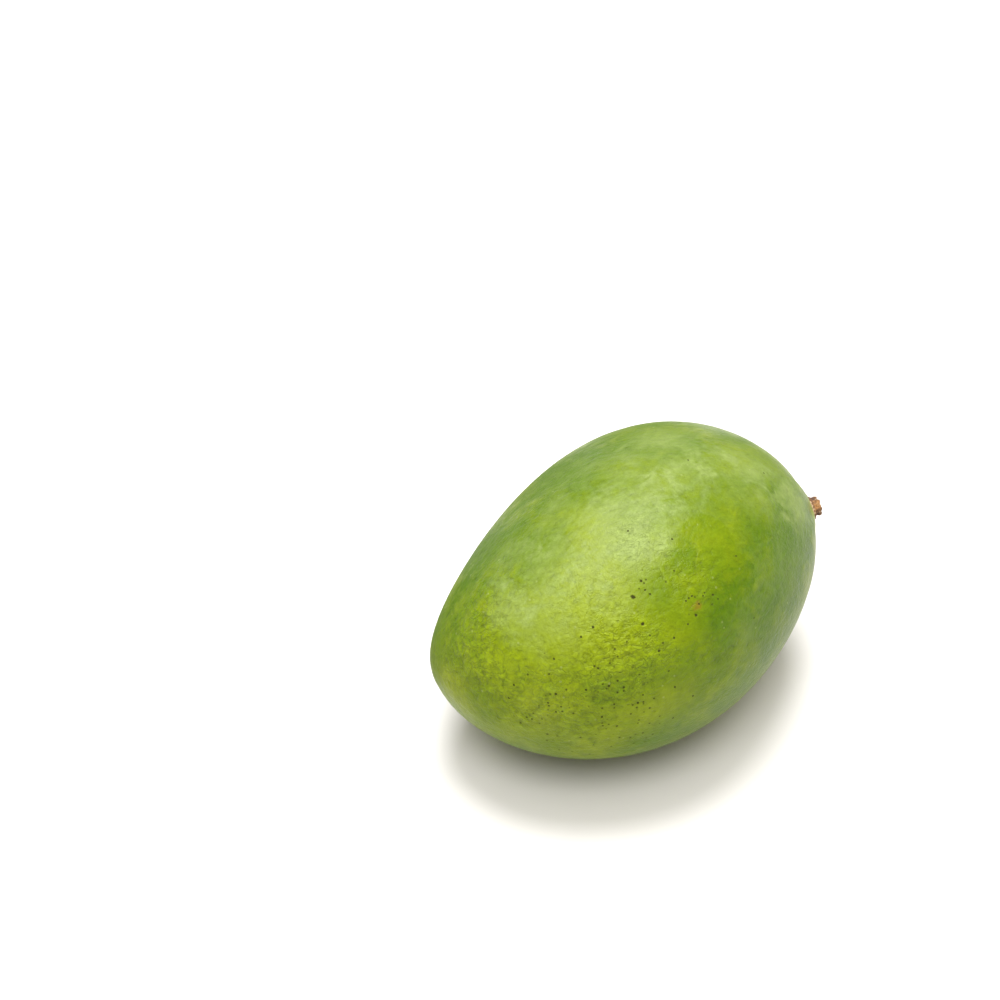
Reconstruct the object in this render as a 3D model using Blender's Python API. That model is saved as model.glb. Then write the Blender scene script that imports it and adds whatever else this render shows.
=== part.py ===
"""A whole green mango with its woody stem stub, lying on its flatter cheek.

Metres, +Z up. The origin is on the surface that the fruit rests on, under the middle of its box.
+X runs towards the stem end and +Y towards the belly, the side with the full shoulder.

The fruit's own frame, before it is laid down, has X along its length, Y across its width, from
back to belly, and Z through its thickness, from cheek to cheek. A point of the skin is given by
two angles: t runs from 0 at the stem to pi at the tip, and a runs once round a section, from the
belly over the upper cheek and the back.
"""

from math import cos, pi, radians, sin

import bmesh
import bpy
import numpy as np
from mathutils import Matrix, Vector

# Size of the fruit
HALF_LENGTH = 0.058
HALF_WIDTH = 0.0432
HALF_THICKNESS = 0.0375

# How each side swells along the fruit: shares on cos t, cos 2t and cos 3t
BELLY = (0.307, -0.085, -0.048)
BACK = (-0.146, -0.038, -0.028)
CHEEK = (0.082, -0.026, 0.0)
BACK_HEAVINESS = 0.06
STEM_SKEW = 0.13

# How the fruit lies: the belly side is down, the stem end is up, and the lowest spot is flat
ROLL = radians(-11.9)
PITCH = radians(-7.2)
YAW = radians(0.5)
FLAT_DEPTH = 0.0004

# Low relief of the skin
SOCKET_RADIUS = 0.0041
SOCKET_DEPTH = 0.0009
SOCKET_WALL = 0.0007
COLLAR_RADIUS = 0.0054
COLLAR_HALF_WIDTH = 0.0013
COLLAR_HEIGHT = 0.00035
RIB_HEIGHT = 0.00028
RIB_START = 0.0045
RIB_FULL = 0.0072
RIB_FALL = 0.009
RIB_END = 0.024
WAVE_HEIGHT = 0.00015

# Waves that add up: share of the height, times round, phase
RIBS = ((0.7, 6, 0.8), (0.3, 11, -1.0))
LOBES = ((0.7, 6, 0.0), (0.5, 2, 1.1), (0.4, 3, -0.7))
RIM_LOBES = LOBES + ((1.0, 1, 0.5),)

# The same for the whole skin, with the times along before the phase
SWELLINGS = ((1.0, 3, 2.0, -1.0), (1.0, 2, -4.3, 0.3), (0.6, 5, 3.1, 0.0))

# Stem stub: radius and height of the stations up its side, over the rim and down into its cup
STUB_STATIONS = (
    (0.0033, -0.0005),
    (0.0036, -0.0001),
    (0.0035, 0.0005),
    (0.0030, 0.0010),
    (0.0026, 0.0015),
    (0.0027, 0.0021),
    (0.0027, 0.0026),
    (0.0022, 0.0031),
    (0.0016, 0.0029),
    (0.0010, 0.0023),
)
LOBE_SHARE = 0.10
RIM_SHARE = 0.06
LOBE_START = 0.0006
LOBE_FULL = 0.0022

# Fineness of the meshes
AROUND = 76
ALONG = 66
RING_CROWDING = 0.8
SMALLEST_RING = 0.0012
STUB_AROUND = 40
STATION_STEPS = 3
SLIGHT_TURN = 1e-4

SKIN_GREEN = (0.22, 0.38, 0.05, 1.0)
STEM_BROWN = (0.16, 0.085, 0.04, 1.0)


def remove_old_objects():
    for old in list(bpy.data.objects):
        bpy.data.objects.remove(old)


def smoothstep(low, high, value):
    share = np.clip((value - low) / (high - low), 0.0, 1.0)
    return share * share * (3 - 2 * share)


def wave(parts, turn):
    """The sum of the parts' waves round a whole turn."""
    return sum(share * np.cos(times * turn + phase) for share, times, phase in parts)


def swell(shares, t):
    """1 plus the shares on cos t, cos 2t and cos 3t."""
    return 1 + sum(share * np.cos((n + 1) * t) for n, share in enumerate(shares))


def plain_skin(t, a):
    """Points of the skin without its low relief, in the fruit's own frame."""
    belly = HALF_WIDTH * np.sin(t) * swell(BELLY, t)
    back = HALF_WIDTH * np.sin(t) * swell(BACK, t)
    cheek = HALF_THICKNESS * np.sin(t) * swell(CHEEK, t)
    y = (belly - back) / 2 + (belly + back) / 2 * np.cos(a)
    z = cheek * np.sin(a) * (1 - BACK_HEAVINESS * np.cos(a))
    x = HALF_LENGTH * np.cos(t) + STEM_SKEW * y * (1 + np.cos(t)) / 2
    return np.stack([x, y, z], axis=-1)


def rounded_rings(t, a):
    """Turns t a little with a, so that the rings close to the stem are circles about it."""
    near = SLIGHT_TURN
    reach = np.linalg.norm(plain_skin(np.full_like(a, near), a)[..., 1:], axis=-1) / near
    stretch = reach.mean() / reach - 1
    return t * (1 + stretch * (1 - smoothstep(0.0, 1.1, t)))


def outward(t, a):
    """Unit vectors that point straight out of the plain skin."""
    step = SLIGHT_TURN
    along = plain_skin(t + step, a) - plain_skin(t - step, a)
    around = plain_skin(t, a + step) - plain_skin(t, a - step)
    normal = np.cross(around, along)
    normal /= np.linalg.norm(normal, axis=-1, keepdims=True)
    return -normal


def stem_relief(distance, turn):
    """The socket, the collar and the low ribs round the stem."""
    socket = -SOCKET_DEPTH * (1 - smoothstep(SOCKET_RADIUS, SOCKET_RADIUS + SOCKET_WALL, distance))
    collar = COLLAR_HEIGHT * np.exp(-(((distance - COLLAR_RADIUS) / COLLAR_HALF_WIDTH) ** 2))
    fade = smoothstep(RIB_START, RIB_FULL, distance) * (1 - smoothstep(RIB_FALL, RIB_END, distance))
    return socket + collar + RIB_HEIGHT * fade * wave(RIBS, turn)


def body_waves(t, a):
    """Broad, very low swellings of the whole fruit."""
    parts = [
        share * np.cos(round_times * a + along_times * t + phase)
        for share, round_times, along_times, phase in SWELLINGS
    ]
    return WAVE_HEIGHT * np.sin(t) * sum(parts)


def skin(t, a):
    """Points of the finished skin, in the fruit's own frame."""
    t = rounded_rings(t, a)
    plain = plain_skin(t, a)
    from_stem = plain - np.array([HALF_LENGTH, 0.0, 0.0])
    distance = np.linalg.norm(from_stem, axis=-1)
    turn = np.arctan2(plain[..., 2], plain[..., 1])
    relief = stem_relief(distance, turn) + body_waves(t, a)
    return plain + outward(t, a) * relief[..., None]


def ring_angles():
    """The rings' values of t, crowded towards the stem and the tip, with none too small."""
    share = np.linspace(0.0, 1.0, ALONG + 1)
    angles = pi * share - RING_CROWDING / 2 * np.sin(2 * pi * share)
    return angles[HALF_WIDTH * np.sin(angles) > SMALLEST_RING]


def close_rings(mesh, rings, first_pole, last_pole):
    """Faces between neighbouring rings of points, and fans to a point at each end."""
    loops = [[mesh.verts.new(point) for point in ring] for ring in rings]
    count = len(loops[0])
    for near, far in zip(loops, loops[1:]):
        for n in range(count):
            after = (n + 1) % count
            mesh.faces.new((near[n], near[after], far[after], far[n]))
    ends = ((loops[0], mesh.verts.new(first_pole)), (loops[-1], mesh.verts.new(last_pole)))
    for loop, pole in ends:
        for n in range(count):
            mesh.faces.new((loop[n], loop[(n + 1) % count], pole))
    bmesh.ops.recalc_face_normals(mesh, faces=mesh.faces)


def stem_pole():
    """The middle of the socket's floor."""
    return stem_frame() @ Vector((0.0, 0.0, -SOCKET_DEPTH))


def stem_frame():
    """Where the stub stands: its Z is the skin's direction outward at the stem."""
    axis = Vector((1.0, -STEM_SKEW, 0.0)).normalized()
    across = Vector((STEM_SKEW, 1.0, 0.0)).normalized()
    turned = Matrix((across, Vector((0.0, 0.0, 1.0)), axis)).transposed()
    return Matrix.Translation((HALF_LENGTH, 0.0, 0.0)) @ turned.to_4x4()


def fruit_mesh():
    """The whole skin as one closed mesh, not yet cut flat."""
    angles = np.linspace(0.0, 2 * pi, AROUND, endpoint=False)
    t, a = np.meshgrid(ring_angles(), angles, indexing="ij")
    mesh = bmesh.new()
    close_rings(mesh, skin(t, a).tolist(), stem_pole(), (-HALF_LENGTH, 0.0, 0.0))
    return mesh


def stub_outline():
    """Radius and height at each level of the stub, on smooth runs between its stations."""
    stations = np.array(STUB_STATIONS)
    place = np.linspace(0, len(stations) - 1, STATION_STEPS * (len(stations) - 1) + 1)
    index = np.clip(place.astype(int), 0, len(stations) - 2)
    share = (place - index)[:, None]
    before = stations[np.maximum(index - 1, 0)]
    after = stations[np.minimum(index + 2, len(stations) - 1)]
    start, end = stations[index], stations[index + 1]
    return start + 0.5 * share * (
        end - before
        + share * (2 * before - 5 * start + 4 * end - after + share * (3 * (start - end) + after - before))
    )


def stub_point(radius, height, turn):
    """A point of the stub in its own frame: its end is lobed and its rim uneven."""
    lobed = smoothstep(LOBE_START, LOBE_FULL, height)
    radius *= 1 + LOBE_SHARE * lobed * wave(LOBES, turn)
    height *= 1 + RIM_SHARE * lobed * wave(RIM_LOBES, turn)
    return (radius * cos(turn), radius * sin(turn), height)


def stub_mesh():
    outline = stub_outline()
    turns = [2 * pi * n / STUB_AROUND for n in range(STUB_AROUND)]
    rings = [[stub_point(radius, height, turn) for turn in turns] for radius, height in outline]
    foot, cup = outline[0][1], outline[-1][1]
    mesh = bmesh.new()
    close_rings(mesh, rings, (0.0, 0.0, foot), (0.0, 0.0, cup))
    return mesh


def laid_down(fruit, stub):
    """The turn and shift that lay the fruit on its flat spot, over the origin."""
    turn = Matrix.Rotation(YAW, 4, "Z") @ Matrix.Rotation(PITCH, 4, "Y") @ Matrix.Rotation(ROLL, 4, "X")
    points = [turn @ vert.co for vert in fruit.verts]
    points += [turn @ stem_frame() @ vert.co for vert in stub.verts]
    low = [min(point[n] for point in points) for n in range(3)]
    high = [max(point[n] for point in points) for n in range(3)]
    shift = (-(low[0] + high[0]) / 2, -(low[1] + high[1]) / 2, -low[2] - FLAT_DEPTH)
    return Matrix.Translation(shift) @ turn


def cut_flat_spot(mesh, placing):
    """Takes off what would reach below the surface, and closes the cut with one flat face."""
    inverse = placing.inverted()
    normal = inverse.to_3x3() @ Vector((0.0, 0.0, -1.0))
    everything = mesh.verts[:] + mesh.edges[:] + mesh.faces[:]
    cut = bmesh.ops.bisect_plane(
        mesh, geom=everything, plane_co=inverse.translation, plane_no=normal, clear_outer=True
    )
    edges = [item for item in cut["geom_cut"] if isinstance(item, bmesh.types.BMEdge)]
    bmesh.ops.contextual_create(mesh, geom=edges)
    bmesh.ops.recalc_face_normals(mesh, faces=mesh.faces)


def plain_material(name, colour, roughness):
    material = bpy.data.materials.new(name)
    material.use_nodes = True
    shader = material.node_tree.nodes["Principled BSDF"]
    shader.inputs["Base Color"].default_value = colour
    shader.inputs["Roughness"].default_value = roughness
    shader.inputs["Metallic"].default_value = 0.0
    return material


def add_object(name, mesh, material):
    data = bpy.data.meshes.new(name)
    mesh.to_mesh(data)
    mesh.free()
    data.shade_smooth()
    data.set_sharp_from_angle(angle=radians(50))
    data.materials.append(material)
    item = bpy.data.objects.new(name, data)
    bpy.context.scene.collection.objects.link(item)
    return item


def build():
    remove_old_objects()
    fruit, stub = fruit_mesh(), stub_mesh()
    placing = laid_down(fruit, stub)
    cut_flat_spot(fruit, placing)
    mango = add_object("mango_fruit", fruit, plain_material("skin", SKIN_GREEN, 0.42))
    mango.matrix_world = placing
    stem = add_object("stem_stub", stub, plain_material("stem", STEM_BROWN, 0.85))
    stem.parent = mango
    stem.matrix_local = stem_frame()


build()
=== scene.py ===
"""Looks of the green mango: its fine skin and woody stem stub, the studio floor, lights and camera.

Metres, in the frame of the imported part: +X towards the stem end, +Y towards the belly, +Z up.
The skin repeats the part's own formula on a finer grid. A point of it is given by two angles:
t runs from 0 at the stem to pi at the tip, and a runs once round a section, from the belly over
the upper cheek and the back.
"""

from math import cos, pi, radians, sin

import bpy
import numpy as np
from mathutils import Matrix, Vector, noise
from mathutils.bvhtree import BVHTree


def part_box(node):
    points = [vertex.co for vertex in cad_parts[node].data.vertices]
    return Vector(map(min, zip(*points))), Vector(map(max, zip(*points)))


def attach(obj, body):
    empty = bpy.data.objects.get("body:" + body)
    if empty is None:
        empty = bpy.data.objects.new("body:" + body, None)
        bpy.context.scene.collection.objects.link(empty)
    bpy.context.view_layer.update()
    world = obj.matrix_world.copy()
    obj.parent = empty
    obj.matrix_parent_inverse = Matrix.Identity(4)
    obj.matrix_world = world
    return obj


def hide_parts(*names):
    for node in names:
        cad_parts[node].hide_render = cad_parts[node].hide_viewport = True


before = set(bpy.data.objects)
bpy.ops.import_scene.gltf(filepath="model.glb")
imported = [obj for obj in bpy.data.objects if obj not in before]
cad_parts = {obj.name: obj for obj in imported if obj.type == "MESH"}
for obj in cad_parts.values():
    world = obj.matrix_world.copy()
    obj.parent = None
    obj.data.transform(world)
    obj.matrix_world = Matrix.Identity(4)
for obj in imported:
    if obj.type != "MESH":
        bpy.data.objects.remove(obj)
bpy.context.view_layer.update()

# The part's own dimensions and shares
HALF_LENGTH = 0.058
HALF_WIDTH = 0.0432
HALF_THICKNESS = 0.0375
BELLY = (0.307, -0.085, -0.048)
BACK = (-0.146, -0.038, -0.028)
CHEEK = (0.082, -0.026, 0.0)
BACK_HEAVINESS = 0.06
STEM_SKEW = 0.13
ROLL = radians(-11.9)
PITCH = radians(-7.2)
YAW = radians(0.5)
SOCKET_RADIUS = 0.0041
SOCKET_DEPTH = 0.0009
SOCKET_WALL = 0.0007
COLLAR_RADIUS = 0.0054
COLLAR_HALF_WIDTH = 0.0013
COLLAR_HEIGHT = 0.00035
RIB_HEIGHT = 0.00028
RIB_START = 0.0045
RIB_FULL = 0.0072
RIB_FALL = 0.009
RIB_END = 0.024
WAVE_HEIGHT = 0.00015
RIBS = ((0.7, 6, 0.8), (0.3, 11, -1.0))
LOBES = ((0.7, 6, 0.0), (0.5, 2, 1.1), (0.4, 3, -0.7))
RIM_LOBES = LOBES + ((1.0, 1, 0.5),)
SWELLINGS = ((1.0, 3, 2.0, -1.0), (1.0, 2, -4.3, 0.3), (0.6, 5, 3.1, 0.0))
STUB_STATIONS = (
    (0.0033, -0.0005),
    (0.0036, -0.0001),
    (0.0035, 0.0005),
    (0.0030, 0.0010),
    (0.0026, 0.0015),
    (0.0027, 0.0021),
    (0.0027, 0.0026),
    (0.0022, 0.0031),
    (0.0016, 0.0029),
    (0.0010, 0.0023),
)
LOBE_SHARE = 0.10
RIM_SHARE = 0.06
LOBE_START = 0.0006
LOBE_FULL = 0.0022

# Fineness of the meshes here
AROUND = 396
ALONG = 240
RING_CROWDING = 0.45
SMALLEST_RING = 0.0004
STUB_AROUND = 150
STATION_STEPS = 12
SLIGHT_TURN = 1e-4

# The rings are circles at the stem, and have the fruit's own form from this value of t on
ROUNDING_END = 1.1

# Fine relief: height and size of each layer of unevenness, and each piece's seed
SKIN_GRAIN = ((0.00005, 0.0075), (0.00002, 0.0026))
STUB_GRAIN = ((0.00026, 0.0012), (0.00016, 0.0005))
SKIN_SEED = 3.0
STUB_SEED = 9.0

# The height on the stub's axis that its unevenness points away from
STUB_MIDDLE = 0.001

# The photograph's camera: it looks at a point of the floor, from this side, height and distance
PICTURE_SIDE = 1000
FOCAL_PIXELS = 3000
SENSOR = 0.036
CAMERA_SIDE = radians(26.283)
CAMERA_HEIGHT = radians(42.776)
CAMERA_DISTANCE = 0.9
AIM = Vector((0.00194, 0.08269, 0.0))

MM = 1000.0

# A colour mix node's sockets, by number
MIX_SHARE, MIX_FIRST, MIX_SECOND, MIX_RESULT = 0, 6, 7, 2

# Spreads a noise node's values, which lie about 0.5, to about -1 to 1
NOISE_GAIN = 4.0


def smoothstep(low, high, value):
    share = np.clip((value - low) / (high - low), 0.0, 1.0)
    return share * share * (3 - 2 * share)


def wave(parts, turn):
    """The sum of the parts' waves round a whole turn."""
    return sum(share * np.cos(times * turn + phase) for share, times, phase in parts)


def swell(shares, t):
    """1 plus the shares on cos t, cos 2t and cos 3t."""
    return 1 + sum(share * np.cos((n + 1) * t) for n, share in enumerate(shares))


def plain_skin(t, a):
    """Points of the skin without its low relief, in the fruit's own frame."""
    belly = HALF_WIDTH * np.sin(t) * swell(BELLY, t)
    back = HALF_WIDTH * np.sin(t) * swell(BACK, t)
    cheek = HALF_THICKNESS * np.sin(t) * swell(CHEEK, t)
    y = (belly - back) / 2 + (belly + back) / 2 * np.cos(a)
    z = cheek * np.sin(a) * (1 - BACK_HEAVINESS * np.cos(a))
    x = HALF_LENGTH * np.cos(t) + STEM_SKEW * y * (1 + np.cos(t)) / 2
    return np.stack([x, y, z], axis=-1)


def rounded_rings(t, a):
    """Turns t a little with a, so that the rings close to the stem are circles about it."""
    near = SLIGHT_TURN
    reach = np.linalg.norm(plain_skin(np.full_like(a, near), a)[..., 1:], axis=-1) / near
    stretch = reach.mean() / reach - 1
    return t * (1 + stretch * (1 - smoothstep(0.0, ROUNDING_END, t)))


def outward(t, a):
    """Unit vectors that point straight out of the plain skin."""
    step = SLIGHT_TURN
    along = plain_skin(t + step, a) - plain_skin(t - step, a)
    around = plain_skin(t, a + step) - plain_skin(t, a - step)
    normal = np.cross(around, along)
    normal /= np.linalg.norm(normal, axis=-1, keepdims=True)
    return -normal


def stem_relief(distance, turn):
    """The socket, the collar and the low ribs round the stem."""
    socket = -SOCKET_DEPTH * (1 - smoothstep(SOCKET_RADIUS, SOCKET_RADIUS + SOCKET_WALL, distance))
    collar = COLLAR_HEIGHT * np.exp(-(((distance - COLLAR_RADIUS) / COLLAR_HALF_WIDTH) ** 2))
    fade = smoothstep(RIB_START, RIB_FULL, distance) * (1 - smoothstep(RIB_FALL, RIB_END, distance))
    return socket + collar + RIB_HEIGHT * fade * wave(RIBS, turn)


def body_waves(t, a):
    """Broad, very low swellings of the whole fruit."""
    parts = [
        share * np.cos(round_times * a + along_times * t + phase)
        for share, round_times, along_times, phase in SWELLINGS
    ]
    return WAVE_HEIGHT * np.sin(t) * sum(parts)


def uneven(points, layers, seed):
    """Noise heights at each point, the layers of height and size added up."""
    heights = np.zeros(len(points))
    for layer, (height, size) in enumerate(layers):
        offset = Vector((seed, layer, 0.5))
        heights += [height * noise.noise(Vector(point) / size + offset) for point in points.tolist()]
    return heights


def skin(t, a):
    """Points of the finished skin and its outward directions, in the fruit's own frame."""
    t = rounded_rings(t, a)
    plain = plain_skin(t, a)
    distance = np.linalg.norm(plain - np.array([HALF_LENGTH, 0.0, 0.0]), axis=-1)
    turn = np.arctan2(plain[..., 2], plain[..., 1])
    relief = stem_relief(distance, turn) + body_waves(t, a)
    relief += uneven(plain.reshape(-1, 3), SKIN_GRAIN, SKIN_SEED).reshape(relief.shape)
    return plain + outward(t, a) * relief[..., None]


def ring_angles():
    """The rings' values of t, crowded towards the stem and the tip, with none too small."""
    share = np.linspace(0.0, 1.0, ALONG + 1)
    angles = pi * share - RING_CROWDING / 2 * np.sin(2 * pi * share)
    return angles[HALF_WIDTH * np.sin(angles) > SMALLEST_RING]


def ring_faces(rings, count):
    """Faces between neighbouring rings, then fans to the two poles that follow the rings."""
    near = (np.arange(rings - 1)[:, None] * count + np.arange(count)[None, :]).ravel()
    after = (np.arange(rings - 1)[:, None] * count + (np.arange(count)[None, :] + 1) % count).ravel()
    quads = np.stack([near, near + count, after + count, after], axis=1).tolist()
    first, last = rings * count, rings * count + 1
    start = (rings - 1) * count
    fans = [(n, (n + 1) % count, first) for n in range(count)]
    fans += [(start + (n + 1) % count, start + n, last) for n in range(count)]
    return quads + fans


def add_piece(name, points, faces, node, material):
    """A smooth closed piece that stands for a node of the part, in the part's frame."""
    data = bpy.data.meshes.new(name)
    data.from_pydata([tuple(point) for point in points], [], faces)
    data.validate()
    data.shade_smooth()
    data.materials.append(material)
    piece = bpy.data.objects.new(name, data)
    bpy.context.scene.collection.objects.link(piece)
    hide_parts(node)
    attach(piece, "root")
    return piece


def stem_frame():
    """Where the stub stands: its Z is the skin's direction outward at the stem."""
    axis = Vector((1.0, -STEM_SKEW, 0.0)).normalized()
    across = Vector((STEM_SKEW, 1.0, 0.0)).normalized()
    turned = Matrix((across, Vector((0.0, 0.0, 1.0)), axis)).transposed()
    return Matrix.Translation((HALF_LENGTH, 0.0, 0.0)) @ turned.to_4x4()


def moved(matrix, points):
    """The points turned and shifted by a matrix."""
    rows = np.array(matrix)
    return points @ rows[:3, :3].T + rows[:3, 3]


def laid_down(points):
    """The turn and shift that lay the fruit where the part's own fruit lies."""
    turn = Matrix.Rotation(YAW, 4, "Z") @ Matrix.Rotation(PITCH, 4, "Y") @ Matrix.Rotation(ROLL, 4, "X")
    turned = moved(turn, points)
    low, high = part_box("mango_fruit")
    middle = (turned.min(axis=0) + turned.max(axis=0)) / 2
    wanted = (low + high) / 2
    shift = (wanted.x - middle[0], wanted.y - middle[1], high.z - turned[:, 2].max())
    return Matrix.Translation(shift) @ turn


def stub_outline():
    """Radius and height at each level of the stub, on smooth runs between its stations."""
    stations = np.array(STUB_STATIONS)
    place = np.linspace(0, len(stations) - 1, STATION_STEPS * (len(stations) - 1) + 1)
    index = np.clip(place.astype(int), 0, len(stations) - 2)
    share = (place - index)[:, None]
    before = stations[np.maximum(index - 1, 0)]
    after = stations[np.minimum(index + 2, len(stations) - 1)]
    start, end = stations[index], stations[index + 1]
    return start + 0.5 * share * (
        end - before
        + share * (2 * before - 5 * start + 4 * end - after + share * (3 * (start - end) + after - before))
    )


class Shader:
    """A short way to write the nodes of a material, or of the world."""

    def __init__(self, name, owners):
        self.material = owners.new(name)
        self.material.use_nodes = True
        self.tree = self.material.node_tree
        self.surface = next(n for n in self.tree.nodes if n.type in ("BSDF_PRINCIPLED", "BACKGROUND"))

    def node(self, kind, inputs=(), **settings):
        made = self.tree.nodes.new(kind)
        for key, value in settings.items():
            setattr(made, key, value)
        for key, value in dict(inputs).items():
            self.give(made.inputs[key], value)
        return made

    def give(self, socket, value):
        if isinstance(value, bpy.types.NodeSocket):
            self.tree.links.new(value, socket)
        else:
            socket.default_value = value

    def math(self, operation, first, second=0.5, clamp=False):
        made = self.node("ShaderNodeMath", {0: first, 1: second}, operation=operation, use_clamp=clamp)
        return made.outputs[0]

    def total(self, values, clamp=False):
        result = values[0]
        for n, value in enumerate(values[1:]):
            result = self.math("ADD", result, value, clamp and n == len(values) - 2)
        return result

    def times(self, first, second, clamp=False):
        return self.math("MULTIPLY", first, second, clamp)

    def step(self, value, low, high, start=0.0, end=1.0):
        """A smooth change from start to end as value goes from low to high."""
        made = self.node(
            "ShaderNodeMapRange",
            {"Value": value, "From Min": low, "From Max": high, "To Min": start, "To Max": end},
            interpolation_type="SMOOTHSTEP",
        )
        return made.outputs["Result"]

    def scaled(self, place, scale, shift=0.0):
        """The place stretched along its axes, then shifted to another part of a pattern."""
        shifts = (shift, 0.7 * shift, -0.4 * shift)
        made = self.node("ShaderNodeVectorMath", {0: place, 1: scale, 2: shifts}, operation="MULTIPLY_ADD")
        return made.outputs[0]

    def place(self):
        """The point's place in the part's frame, in millimetres."""
        coordinates = self.node("ShaderNodeTexCoord").outputs["Object"]
        return self.scaled(coordinates, (MM, MM, MM))

    def distance(self, place, spot):
        """How far the point is from a spot, in millimetres."""
        made = self.node("ShaderNodeVectorMath", {0: place, 1: tuple(spot)}, operation="DISTANCE")
        return made.outputs["Value"]

    def noise(self, place, size, detail=2.0, roughness=0.5, distortion=0.0):
        """Noise about 0, mostly from -1 to 1, with features of that size in millimetres."""
        settings = {"Scale": 1.0 / size, "Detail": detail, "Roughness": roughness, "Distortion": distortion}
        made = self.node("ShaderNodeTexNoise", {"Vector": place, **settings})
        spread = {0: made.outputs["Fac"], 1: NOISE_GAIN, 2: -NOISE_GAIN / 2}
        return self.node("ShaderNodeMath", spread, operation="MULTIPLY_ADD").outputs[0]

    def attribute(self, name):
        return self.node("ShaderNodeAttribute", attribute_name=name).outputs["Vector"]

    def toned(self, colour, factor):
        """The colour made lighter or darker by a factor."""
        made = self.node("ShaderNodeVectorMath", {0: colour, "Scale": factor}, operation="SCALE")
        return made.outputs[0]

    def mix(self, share, first, second):
        """The first colour where the share is 0, the second where it is 1."""
        made = self.node("ShaderNodeMix", data_type="RGBA")
        self.give(made.inputs[MIX_SHARE], share)
        self.give(made.inputs[MIX_FIRST], first)
        self.give(made.inputs[MIX_SECOND], second)
        return made.outputs[MIX_RESULT]

    def bumped(self, height):
        """The surface's direction with a relief of that height in millimetres."""
        settings = {"Height": height, "Distance": 1.0 / MM, "Strength": 1.0}
        return self.node("ShaderNodeBump", settings).outputs["Normal"]


# Linear colours
GREEN = (0.067, 0.131, 0.002, 1.0)
YELLOW = (0.190, 0.243, 0.002, 1.0)
# Bloom: partly the skin's waxy bloom, partly a painted highlight where the overhead lights fall on the top
BLOOM_AND_HIGHLIGHT = (0.219, 0.282, 0.077, 1.0)
PALE_DOT = (0.30, 0.35, 0.12, 1.0)
SPECK = (0.026, 0.024, 0.003, 1.0)
BLUSH = (0.20, 0.105, 0.012, 1.0)
COLLAR_PALE = (0.28, 0.32, 0.07, 1.0)
# Painted shade in the socket round the stub
SOCKET_SHADE = (0.05, 0.045, 0.01, 1.0)
BARK_DARK = (0.040, 0.020, 0.012, 1.0)
BARK_BROWN = (0.23, 0.12, 0.055, 1.0)
# Stub tan: partly the broken end's pith, partly a painted highlight on the knob
BARK_TAN = (0.37, 0.19, 0.07, 1.0)
# Stub pale: a pale line round its base, and painted highlights on flecks and ridges
BARK_PALE_AND_HIGHLIGHT = (0.50, 0.36, 0.21, 1.0)
BARK_MAUVE = (0.085, 0.052, 0.045, 1.0)
FLOOR_WHITE = (0.70, 0.685, 0.68, 1.0)
FLOOR_FAR = (0.47, 0.45, 0.43, 1.0)

# Broad patches of the skin: pixel in the photograph, reach in millimetres, strength. Most are the skin's
# own colour; two yellow ones paint shade on the upper left limb, and the bloom ones also paint the
# highlight.
YELLOW_AND_SHADE_PATCHES = (
    ((590, 600), 17.0, 0.45),
    ((530, 690), 15.0, 0.34),
    ((455, 692), 7.0, 0.42),
    ((600, 528), 8.0, 0.24),
    ((650, 645), 10.0, 0.20),
    # Painted shade: darker and greener on the upper left limb, where a neighbouring fruit shades it
    ((570, 470), 15.0, -0.35),
    ((660, 440), 12.0, -0.20),
    ((795, 520), 13.0, -0.45),
    ((500, 545), 11.0, -0.15),
    # Painted shade: darker and greener on the upper left limb, where a neighbouring fruit shades it
    ((478, 555), 9.0, -0.25),
    ((765, 590), 11.0, -0.20),
    ((792, 572), 11.0, -0.20),
    ((683, 560), 4.0, -0.14),
    ((690, 540), 10.0, 0.14),
    ((690, 590), 7.0, 0.22),
    ((640, 550), 9.0, 0.14),
    ((505, 610), 9.0, 0.10),
    ((765, 510), 6.0, 0.12),
    ((735, 690), 9.0, -0.15),
    ((670, 700), 8.0, 0.14),
    ((625, 720), 9.0, 0.20),
    ((535, 540), 7.0, 0.12),
    ((770, 508), 6.0, 0.12),
    ((475, 665), 9.0, 0.12),
    ((738, 615), 8.0, -0.16),
    ((745, 455), 8.0, 0.10),
    ((540, 560), 10.0, -0.26),
    ((655, 700), 9.0, 0.20),
    ((520, 738), 8.0, 0.16),
    ((590, 742), 8.0, 0.12),
    ((475, 722), 7.0, 0.16),
    ((480, 655), 9.0, 0.10),
    ((690, 650), 8.0, 0.16),
    ((440, 672), 8.0, 0.16),
    ((605, 650), 8.0, 0.14),
    ((610, 590), 8.0, 0.12),
    ((680, 620), 6.0, 0.12),
)
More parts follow.
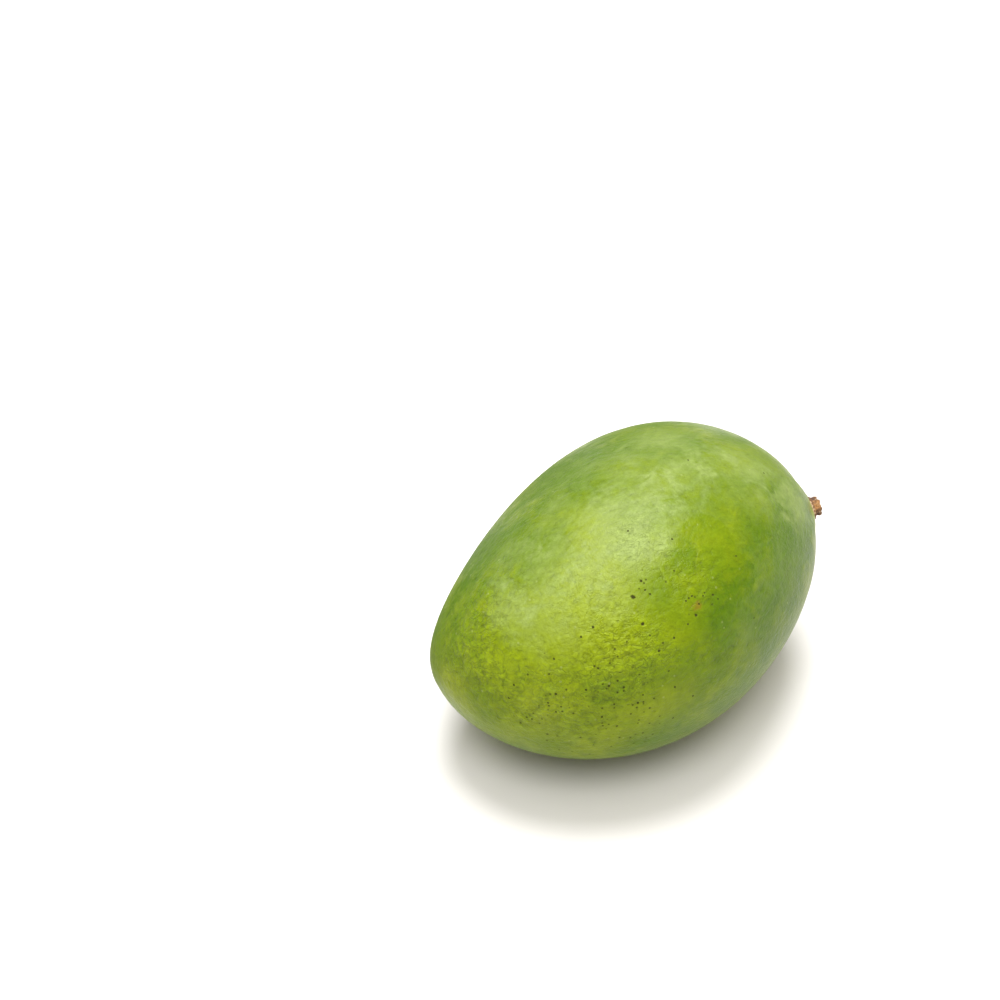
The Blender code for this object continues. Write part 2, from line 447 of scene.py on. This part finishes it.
# These patches are partly the skin's bloom and partly a painted highlight on the top
BLOOM_AND_HIGHLIGHT_PATCHES = (
    # Painted highlight: these two make the top lighter where the overhead lights fall
    ((630, 525), 14.0, 0.40),
    ((640, 545), 7.0, 0.22),
    ((615, 465), 8.0, 0.12),
    ((660, 450), 13.0, 0.26),
    ((655, 434), 9.0, 0.16),
    ((780, 478), 6.0, 0.14),
    ((580, 475), 12.0, 0.15),
    ((740, 478), 11.0, 0.21),
    ((685, 478), 8.0, 0.28),
    ((745, 460), 8.0, 0.22),
    ((795, 505), 8.0, 0.42),
    ((790, 565), 9.0, 0.08),
    ((735, 620), 8.0, 0.08),
    ((550, 620), 10.0, 0.19),
    ((550, 570), 10.0, 0.26),
    ((590, 575), 7.0, 0.25),
    ((512, 558), 8.0, 0.25),
    ((742, 642), 7.0, 0.15),
    ((505, 610), 9.0, 0.24),
    ((455, 640), 15.0, -0.28),
    ((480, 680), 12.0, -0.22),
    ((700, 650), 18.0, -0.16),
    ((620, 700), 15.0, -0.16),
    ((520, 745), 7.0, 0.12),
    ((444, 690), 7.0, 0.14),
    ((475, 722), 6.0, 0.14),
    ((510, 618), 6.0, 0.12),
    ((615, 600), 7.0, 0.12),
    ((690, 512), 6.0, 0.15),
    ((755, 580), 8.0, 0.08),
    ((620, 675), 10.0, -0.14),
    ((475, 675), 8.0, -0.12),
    ((655, 585), 7.0, -0.12),
    ((630, 484), 9.0, 0.14),
    ((560, 518), 10.0, 0.22),
    ((662, 486), 6.0, 0.20),
    ((715, 458), 7.0, 0.16),
    ((770, 508), 6.0, 0.15),
)

# Where the bloom is worn off, with a clearer edge
WORN_PATCHES = (
    ((708, 545), 8.5, 0.80),
    ((692, 582), 8.5, 0.85),
    ((735, 575), 7.0, 0.40),
    ((660, 620), 7.5, 0.60),
    ((630, 655), 8.5, 0.60),
    ((590, 690), 8.0, 0.40),
)

# Where the skin is rougher, and so mirrors less of the floor
ROUGH_PATCHES = (
    ((440, 630), 15.0, 0.42),
    ((490, 690), 13.0, 0.20),
    ((470, 560), 15.0, 0.25),
    ((540, 480), 15.0, 0.30),
    ((640, 430), 15.0, 0.30),
    ((760, 460), 13.0, 0.20),
    ((600, 740), 15.0, 0.10),
    ((610, 690), 14.0, 0.12),
)

# Dark specks: pixel in the photograph and radius in millimetres
SPECKS = (
    ((633, 597), 0.50), ((650, 594), 0.31), ((641, 581), 0.27), ((644, 583), 0.23),
    ((645, 590), 0.22), ((643, 624), 0.43), ((696, 615), 0.35), ((703, 596), 0.23),
    ((688, 624), 0.27), ((692, 596), 0.22), ((713, 595), 0.27), ((672, 539), 0.23),
    ((628, 531), 0.22), ((736, 556), 0.27), ((688, 460), 0.22), ((764, 473), 0.23),
    ((754, 618), 0.23), ((593, 627), 0.27), ((581, 637), 0.27), ((554, 659), 0.31),
    ((549, 674), 0.27), ((514, 685), 0.27), ((509, 698), 0.23), ((556, 694), 0.31),
    ((586, 690), 0.27), ((609, 686), 0.27), ((610, 663), 0.23), ((598, 668), 0.23),
    ((556, 712), 0.27), ((542, 719), 0.23), ((532, 719), 0.22), ((602, 717), 0.27),
    ((675, 687), 0.31), ((659, 651), 0.27), ((663, 643), 0.22), ((627, 642), 0.23),
    ((674, 638), 0.27), ((693, 696), 0.27), ((638, 703), 0.27), ((644, 712), 0.23),
    ((673, 718), 0.23), ((639, 720), 0.23), ((634, 743), 0.27), ((653, 734), 0.23),
    ((617, 726), 0.23), ((699, 604), 0.24), ((718, 599), 0.20), ((686, 601), 0.20),
)
BLUSH_SPOT = ((698, 606), 1.9)

# Where the fine relief is coarser: pixel in the photograph, reach in millimetres, strength
COARSE_PATCHES = (
    ((630, 660), 12.0, 1.1),
    ((690, 580), 9.0, 0.45),
    ((640, 542), 8.5, 0.55),
    ((560, 700), 14.0, 0.80),
    ((505, 705), 10.0, 0.60),
    ((470, 650), 14.0, 0.85),
    ((500, 590), 11.0, 0.35),
    ((590, 600), 11.0, 0.35),
    ((600, 735), 16.0, 0.35),
    ((715, 665), 10.0, 0.30),
    ((640, 445), 16.0, -0.25),
    ((540, 490), 12.0, -0.20),
    ((750, 480), 11.0, -0.20),
)

# Where tiny dark dots crowd: pixel in the photograph, reach in millimetres, strength
PIN_PATCHES = (
    ((640, 668), 12.0, 0.62),
    ((560, 715), 15.0, 0.66),
    ((655, 583), 7.0, 0.62),
    ((700, 600), 7.0, 0.62),
    ((640, 725), 10.0, 0.50),
)

# Roughness of each surface, and how strongly it mirrors
SKIN_ROUGHNESS, SKIN_GLOSS = 0.35, 0.15
STUB_ROUGHNESS, STUB_GLOSS = 0.72, 0.25
FLOOR_ROUGHNESS, FLOOR_GLOSS = 0.85, 0.2

# Spacing of the pale dots and of the tiny dark ones, in millimetres
DOT_SPACING = 3.4
PIN_SPACING = 1.5

# Millimetres from the stem where the pale collar and the painted shade in the socket round the stub begin,
# and where each is full
COLLAR_REACH = (10.0, 5.0)
SOCKET_SHADE_REACH = (4.9, 4.0)

# How many radii away a dark speck counts as out of reach
SPECK_FAR = 9.0

# Patches of the stub, in the same way
# The tan patches paint a highlight on the knob; the pale patches draw a pale line round the base and a few
# painted highlights
TAN_PATCHES = (((817, 505), 1.5, 0.95), ((815, 511), 1.0, 0.35))
PALE_PATCHES = (
    ((816, 499), 0.5, 0.9),
    ((820, 512), 0.45, 0.9),
    ((811, 502), 0.45, 1.0),
    ((812.5, 505.5), 0.45, 1.0),
    ((814, 509), 0.45, 1.0),
    ((815, 513), 0.45, 1.0),
    ((818, 504), 0.9, 0.45),
)
MAUVE_PATCHES = (((812, 499), 0.9, 1.0), ((818, 514), 0.6, 1.0), ((814.5, 503), 0.4, 0.6))

# Far soft lights: the way to each, towards the picture's right, away from the camera and up,
# then how wide it looks and its strength
SOFT_LIGHTS = (
    ("wide_light", (-0.05, 0.00, 1.00), radians(66), 1.25),
    ("key_light", (-0.02, 0.24, 1.00), radians(28), 3.45),
    ("front_light", (-0.05, -0.55, 1.00), radians(30), 1.45),
)

# The sky's colours, the side where it is dimmer, how near that side it is dimmest, and how dim
HORIZON_LIGHT = (0.10, 0.075, 0.02, 1.0)
ZENITH_LIGHT = (0.80, 0.76, 0.66, 1.0)
DIM_SIDE = (-0.35, 0.94, 0.0)
DIM_FULL = 0.9
DIM_SHARE = 0.5

# The floor's flat reach and the radius of its rise in metres, how far it rises, and its fineness
FLOOR_FLAT = 6.0
FLOOR_CURVE = 1.5
FLOOR_RISE = radians(75)
FLOOR_STEPS = 16
FLOOR_AROUND = 96


def camera_axes():
    """The camera's right, up and backward directions, and its place."""
    side, height = CAMERA_SIDE, CAMERA_HEIGHT
    back = Vector((-sin(side) * cos(height), -cos(side) * cos(height), sin(height)))
    right = Vector((cos(side), -sin(side), 0.0))
    return right, back.cross(right), back, AIM + back * CAMERA_DISTANCE


def on_skin(tree, pixel):
    """The point of the skin that the photograph shows at a pixel, in millimetres."""
    right, up, back, place = camera_axes()
    across, down = pixel[0] - PICTURE_SIDE / 2, pixel[1] - PICTURE_SIDE / 2
    ray = right * across - up * down - back * FOCAL_PIXELS
    return tree.ray_cast(place, ray.normalized())[0] * MM


def patches_sum(shader, place, tree, patches, ragged=0.0, start=0.3, end=1.4):
    """The strengths of patches, added up. Ragged is how many millimetres their edges stray."""
    parts = []
    for pixel, reach, strength in patches:
        away = shader.total([shader.distance(place, on_skin(tree, pixel)), ragged])
        parts.append(shader.step(away, start * reach, end * reach, strength, 0.0))
    return shader.total(parts)


def specks_nearness(shader, place, tree):
    """How many radii away the nearest dark speck is."""
    nearest = SPECK_FAR
    for pixel, radius in SPECKS:
        away = shader.times(shader.distance(place, on_skin(tree, pixel)), 1.0 / radius)
        nearest = shader.math("MINIMUM", away, nearest)
    return nearest


class SkinShader(Shader):
    """The skin: green, yellow, and bloom that also paints a highlight, then its marks and its fine relief
    with painted light and shade.
    """

    def __init__(self, form, stem):
        super().__init__("mango_skin", bpy.data.materials)
        self.form = form
        self.spot = self.place()
        self.from_stem = self.distance(self.spot, stem)
        self.grain = self.attribute("grain")
        self.add_noises()
        self.add_zones()

    def add_noises(self):
        spot, own = self.spot, self.attribute("own")
        same = (1.0, 1.0, 1.0)
        self.broad = self.noise(spot, 24.0, 2.0)
        self.blotch = self.noise(self.scaled(spot, same, 19.0), 7.0, 4.0, 0.6, 0.8)
        self.cloud = self.noise(self.scaled(spot, same, 57.0), 6.0, 4.0, 0.6, 1.0)
        self.fine = self.noise(self.scaled(spot, same, 83.0), 0.8, 2.0, 0.6, 0.3)
        self.fleck = self.noise(self.scaled(own, (0.75, 1.0, 1.0), 31.0), 2.8, 3.0, 0.6, 0.4)
        self.crinkle = self.noise(self.scaled(own, (0.75, 1.0, 1.0), 47.0), 1.5, 4.0, 0.65, 0.35)
        self.pebble = self.noise(self.scaled(own, (0.8, 1.0, 1.0), 13.0), 2.2, 2.0, 0.5, 0.4)
        self.flake = self.noise(self.scaled(own, (0.8, 1.0, 1.0), 71.0), 1.9, 3.0, 0.6, 0.3)
        bend = self.noise(self.scaled(own, (0.8, 1.0, 1.0), 29.0), 1.8, 3.0, 0.55, 0.5)
        self.crease = self.step(self.math("ABSOLUTE", bend), 0.26, 0.02)

    def add_zones(self):
        times, total = self.times, self.total
        ragged = total([times(self.blotch, 3.0), times(self.fleck, 1.5)])
        frayed = total([times(self.blotch, 0.8), times(self.fleck, 0.9), times(self.crinkle, 0.5)])
        self.coarse = self.patches(COARSE_PATCHES, ragged)
        self.worn = self.patches(WORN_PATCHES, frayed, 0.88, 1.08)
        self.rough = self.patches(ROUGH_PATCHES, ragged)
        self.yellow = total([
            0.36,
            times(self.broad, 0.20),
            times(self.blotch, 0.19),
            times(self.fleck, total([0.09, times(self.coarse, 0.10)])),
            self.patches(YELLOW_AND_SHADE_PATCHES, ragged),
        ])
        self.bloom_and_highlight = self.step(total([
            0.17,
            times(self.cloud, 0.11),
            times(self.fleck, total([-0.03, times(self.coarse, -0.06)])),
            times(self.flake, total([0.02, times(self.coarse, 0.06)])),
            times(self.worn, -0.50),
            self.patches(BLOOM_AND_HIGHLIGHT_PATCHES, ragged),
        ]), 0.05, 0.95)

    def patches(self, table, ragged, start=0.3, end=1.4):
        return patches_sum(self, self.spot, self.form, table, ragged, start, end)

    def voronoi(self, size):
        """How far the nearest of scattered dots is, and that dot's chance from 0 to 1."""
        settings = {"Vector": self.spot, "Scale": 1.0 / size, "Randomness": 1.0}
        cells = self.node("ShaderNodeTexVoronoi", settings)
        chance = self.node("ShaderNodeSeparateColor", {0: cells.outputs["Color"]}).outputs[0]
        return cells.outputs["Distance"], chance

    def plain_colour(self):
        """Green to yellow under bloom, with painted light and shade of the fine relief: lighter on its
        bumps, darker in its dips and creases.
        """
        times, total = self.times, self.total
        base = self.mix(self.step(self.yellow, 0.0, 1.0), GREEN, YELLOW)
        # The bloom mix is partly a painted highlight on the top
        base = self.mix(self.bloom_and_highlight, base, BLOOM_AND_HIGHLIGHT)
        # Painted light and shade of the fine relief: lighter on its bumps, darker in its dips and creases
        shaded_dips = self.step(self.crinkle, -0.2, -1.1)
        painted_relief_shading = total([
            1.0,
            times(self.coarse, 0.07),
            times(self.crinkle, total([0.09, times(self.coarse, 0.05)])),
            times(self.pebble, total([0.04, times(self.coarse, 0.18)])),
            times(self.flake, total([0.07, times(self.coarse, 0.04)])),
            times(self.fine, 0.08),
            times(shaded_dips, total([-0.14, times(self.coarse, -0.12)])),
            times(self.crease, total([-0.03, times(self.coarse, -0.13)])),
        ])
        return self.toned(base, painted_relief_shading)

    def marked_colour(self, base):
        """The colour with pale dots, the blush, the pale collar at the stem, painted shade in the socket
        round the stub and the dark specks.
        """
        times, total = self.times, self.total
        near, chance = self.voronoi(DOT_SPACING)
        self.dots = times(self.step(near, 0.13, 0.06), self.step(chance, 0.45, 0.7))
        base = self.mix(times(self.dots, 0.36), base, PALE_DOT)
        blush = total([self.distance(self.spot, on_skin(self.form, BLUSH_SPOT[0])), self.crinkle])
        base = self.mix(self.step(blush, 0.2, BLUSH_SPOT[1], 0.55, 0.0), base, BLUSH)
        rays = self.noise(self.scaled(self.grain, (0.05, 1.0, 1.0), 11.0), 6.0, 2.0)
        streaks = total([0.75, times(rays, 0.25)])
        collar = times(self.step(self.from_stem, *COLLAR_REACH, 0.0, 0.7), streaks, True)
        base = self.mix(collar, base, COLLAR_PALE)
        # Painted shade: the socket round the stub is darkened
        base = self.mix(self.step(self.from_stem, *SOCKET_SHADE_REACH), base, SOCKET_SHADE)
        near, chance = self.voronoi(PIN_SPACING)
        ragged = times(self.blotch, 3.0)
        crowd = total([chance, -0.20, times(self.broad, 0.25), self.patches(PIN_PATCHES, ragged)])
        pins = times(self.step(near, 0.28, 0.12), self.step(crowd, 0.89, 1.0))
        nearest = total([specks_nearness(self, self.spot, self.form), times(self.fine, 0.5)])
        self.specks = self.math("MAXIMUM", self.step(nearest, 1.5, 0.65, 0.0, 0.94), times(pins, 0.82))
        return self.mix(self.specks, base, SPECK)

    def relief(self):
        """The height of the fine relief, in millimetres."""
        times, total = self.times, self.total
        return total([
            times(self.crinkle, total([0.040, times(self.coarse, 0.040)])),
            times(self.pebble, total([0.030, times(self.coarse, 0.200)])),
            times(self.crease, total([-0.012, times(self.coarse, -0.110)])),
            times(self.flake, 0.030),
            times(self.fine, 0.016),
            times(self.blotch, 0.060),
            times(self.fleck, 0.045),
            times(self.dots, 0.03),
            times(self.specks, -0.06),
        ])

    def finish(self):
        times, total = self.times, self.total
        self.give(self.surface.inputs["Base Color"], self.marked_colour(self.plain_colour()))
        rough = [
            SKIN_ROUGHNESS,
            self.rough,
            times(self.fine, 0.04),
            times(self.bloom_and_highlight, 0.14),
            times(self.specks, 0.5),
        ]
        self.give(self.surface.inputs["Roughness"], total(rough, True))
        self.surface.inputs["Specular IOR Level"].default_value = SKIN_GLOSS
        self.give(self.surface.inputs["Normal"], self.bumped(self.relief()))
        return self.material


def stem_material(tree):
    """The woody stub: dark and brown bark; tan towards its end, partly pith and partly a painted highlight
    on the knob; a pale line round its base and painted highlights on its flecks and ridges; mauve in
    places.
    """
    s = Shader("stem_stub", bpy.data.materials)
    place = s.place()
    own = s.attribute("own")
    height = s.node("ShaderNodeSeparateXYZ", {0: own}).outputs["Z"]
    blotch = s.noise(own, 1.5, 3.0, 0.6, 0.5)
    fibre = s.noise(s.scaled(own, (1.0, 1.0, 0.35)), 0.45, 3.0, 0.7, 0.3)
    fine = s.noise(own, 0.25, 2.0, 0.6)
    share = s.total([0.64, s.times(blotch, 0.30), s.times(fibre, 0.40)])
    base = s.mix(s.step(share, 0.0, 1.0), BARK_DARK, BARK_BROWN)
    # Tan: partly the broken end's pith, partly a painted highlight on the knob
    pith_and_highlight = s.total([
        -0.35,
        s.step(height, 1.6, 2.9, 0.0, 0.30),
        s.times(blotch, 0.45),
        s.times(fine, 0.15),
        patches_sum(s, place, tree, TAN_PATCHES),
    ])
    base = s.mix(s.step(pith_and_highlight, 0.0, 0.6), base, BARK_TAN)
    # Pale: a pale line round the base, and painted highlights on flecks and ridges
    pale = s.total([
        -0.45,
        s.step(height, 0.55, 0.15, 0.0, 0.9),
        s.times(fine, 0.50),
        s.times(fibre, 0.35),
        patches_sum(s, place, tree, PALE_PATCHES),
    ])
    base = s.mix(s.step(pale, 0.0, 0.6), base, BARK_PALE_AND_HIGHLIGHT)
    mauve = patches_sum(s, place, tree, MAUVE_PATCHES)
    base = s.mix(s.times(mauve, 0.8, True), base, BARK_MAUVE)
    s.give(s.surface.inputs["Base Color"], base)
    s.give(s.surface.inputs["Roughness"], s.total([STUB_ROUGHNESS, s.times(fine, 0.08)]))
    s.surface.inputs["Specular IOR Level"].default_value = STUB_GLOSS
    relief = s.total([s.times(fibre, 0.08), s.times(fine, 0.06)])
    s.give(s.surface.inputs["Normal"], s.bumped(relief))
    return s.material


def floor_material():
    """A matt white floor that is greyer far away."""
    s = Shader("pale_floor", bpy.data.materials)
    place = s.place()
    fine = s.noise(place, 1.5, 2.0)
    far = s.step(s.distance(place, (0.0, 0.0, 0.0)), FLOOR_FLAT / 2 * MM, FLOOR_FLAT * MM)
    s.give(s.surface.inputs["Base Color"], s.mix(far, FLOOR_WHITE, FLOOR_FAR))
    s.give(s.surface.inputs["Roughness"], s.total([FLOOR_ROUGHNESS, s.times(fine, 0.03)]))
    s.surface.inputs["Specular IOR Level"].default_value = FLOOR_GLOSS
    return s.material


def make_fruit():
    """The fine skin in the part's frame, its faces, where each point lies, and how it was laid."""
    ring, step = np.meshgrid(ring_angles(), np.arange(AROUND) * 2 * pi / AROUND, indexing="ij")
    rings = skin(ring, step)
    stem = np.array(stem_frame() @ Vector((0.0, 0.0, -SOCKET_DEPTH)))
    tip = np.array((-HALF_LENGTH, 0.0, 0.0))
    own = np.vstack([rings.reshape(-1, 3), stem, tip])
    matrix = laid_down(own)
    points = moved(matrix, own)
    points[:, 2] = np.maximum(points[:, 2], 0.0)
    first = np.linalg.norm(rings[:1] - stem, axis=-1)
    along = np.vstack([first, first + np.cumsum(np.linalg.norm(np.diff(rings, axis=0), axis=-1), axis=0)])
    grain = np.stack([along, HALF_WIDTH * np.cos(step), HALF_WIDTH * np.sin(step)], axis=-1)
    ends = np.array([[0.0, 0.0, 0.0], [along[-1].mean(), 0.0, 0.0]])
    grain = np.vstack([grain.reshape(-1, 3), ends]) * MM
    return points, ring_faces(*ring.shape), {"grain": grain, "own": own * MM}, matrix


def make_stub(matrix):
    """The fine stem stub: points in the part's frame, faces, and places in its own frame."""
    outline = stub_outline()[::-1]
    turn = np.arange(STUB_AROUND) * 2 * pi / STUB_AROUND
    radius, height = outline[:, :1], outline[:, 1:]
    lobed = smoothstep(LOBE_START, LOBE_FULL, height)
    radius = radius * (1 + LOBE_SHARE * lobed * wave(LOBES, turn))
    height = height * (1 + RIM_SHARE * lobed * wave(RIM_LOBES, turn))
    own = np.stack([radius * np.cos(turn), radius * np.sin(turn), height], axis=-1).reshape(-1, 3)
    bumps = uneven(own, STUB_GRAIN, STUB_SEED)[:, None]
    spread = own - np.array([0.0, 0.0, STUB_MIDDLE])
    own = own + bumps * spread / np.linalg.norm(spread, axis=1, keepdims=True)
    top, bottom = own[:STUB_AROUND].mean(axis=0), own[-STUB_AROUND:].mean(axis=0)
    own = np.vstack([own, top, bottom])
    return moved(matrix @ stem_frame(), own), ring_faces(len(outline), STUB_AROUND), {"own": own * MM}


def add_attributes(piece, attributes):
    for name, values in attributes.items():
        layer = piece.data.attributes.new(name, "FLOAT_VECTOR", "POINT")
        layer.data.foreach_set("vector", np.ascontiguousarray(values, dtype=np.float32).ravel())


def add_floor():
    """A wide flat floor that curves up far away all round."""
    rise = np.linspace(0.0, FLOOR_RISE, FLOOR_STEPS)
    reach = np.concatenate([[FLOOR_FLAT / 2], FLOOR_FLAT + FLOOR_CURVE * np.sin(rise)])
    height = np.concatenate([[0.0], FLOOR_CURVE * (1 - np.cos(rise))])
    turn = np.arange(FLOOR_AROUND) * 2 * pi / FLOOR_AROUND
    rings = np.stack([
        reach[:, None] * np.cos(turn),
        reach[:, None] * np.sin(turn),
        np.repeat(height[:, None], FLOOR_AROUND, axis=1),
    ], axis=-1).reshape(-1, 3)
    points = [tuple(point) for point in rings] + [(0.0, 0.0, 0.0)]
    around = range(FLOOR_AROUND)
    faces = [(len(rings), n, (n + 1) % FLOOR_AROUND) for n in around]
    for ring in range(len(reach) - 1):
        start, after = ring * FLOOR_AROUND, (ring + 1) * FLOOR_AROUND
        for n in around:
            following = (n + 1) % FLOOR_AROUND
            faces.append((start + n, after + n, after + following, start + following))
    data = bpy.data.meshes.new("studio_floor")
    data.from_pydata(points, [], faces)
    data.shade_smooth()
    data.materials.append(floor_material())
    floor = bpy.data.objects.new("studio_floor", data)
    bpy.context.scene.collection.objects.link(floor)


def add_lights():
    """Far soft lights, and a pale sky that is dimmer low down and on one side."""
    right, _, back, _ = camera_axes()
    away = Vector((-back.x, -back.y, 0.0)).normalized()
    for name, (sideways, beyond, height), angle, strength in SOFT_LIGHTS:
        data = bpy.data.lights.new(name, "SUN")
        data.angle = angle
        data.energy = strength
        light = bpy.data.objects.new(name, data)
        toward = right * sideways + away * beyond + Vector((0.0, 0.0, height))
        light.location = toward
        light.rotation_mode = "QUATERNION"
        light.rotation_quaternion = (-toward).to_track_quat("-Z", "Y")
        bpy.context.scene.collection.objects.link(light)

    sky = Shader("studio", bpy.data.worlds)
    direction = sky.node("ShaderNodeTexCoord").outputs["Generated"]
    upward = sky.node("ShaderNodeSeparateXYZ", {0: direction}).outputs["Z"]
    facing = sky.node("ShaderNodeVectorMath", {0: direction, 1: DIM_SIDE}, operation="DOT_PRODUCT")
    shade = sky.mix(upward, HORIZON_LIGHT, ZENITH_LIGHT)
    sky.give(sky.surface.inputs["Color"], shade)
    dimmed = sky.step(facing.outputs["Value"], 0.0, DIM_FULL, 1.0, DIM_SHARE)
    sky.give(sky.surface.inputs["Strength"], dimmed)
    bpy.context.scene.world = sky.material


def add_camera():
    """The photograph's camera."""
    right, up, back, place = camera_axes()
    data = bpy.data.cameras.new("camera")
    data.sensor_width = SENSOR * MM
    data.lens = FOCAL_PIXELS / PICTURE_SIDE * SENSOR * MM
    camera = bpy.data.objects.new("camera", data)
    camera.matrix_world = Matrix.Translation(place) @ Matrix((right, up, back)).transposed().to_4x4()
    bpy.context.scene.collection.objects.link(camera)
    bpy.context.scene.camera = camera


points, faces, attributes, matrix = make_fruit()
tree = BVHTree.FromPolygons(points.tolist(), faces)
stem = matrix @ stem_frame().translation * MM
fruit = add_piece("mango_skin", points, faces, "mango_fruit", SkinShader(tree, stem).finish())
add_attributes(fruit, attributes)
points, faces, attributes = make_stub(matrix)
tree = BVHTree.FromPolygons(points.tolist(), faces)
stub = add_piece("stem_stub_fine", points, faces, "stem_stub", stem_material(tree))
add_attributes(stub, attributes)
add_floor()
add_lights()
add_camera()
bpy.context.scene.view_settings.view_transform = "Standard"
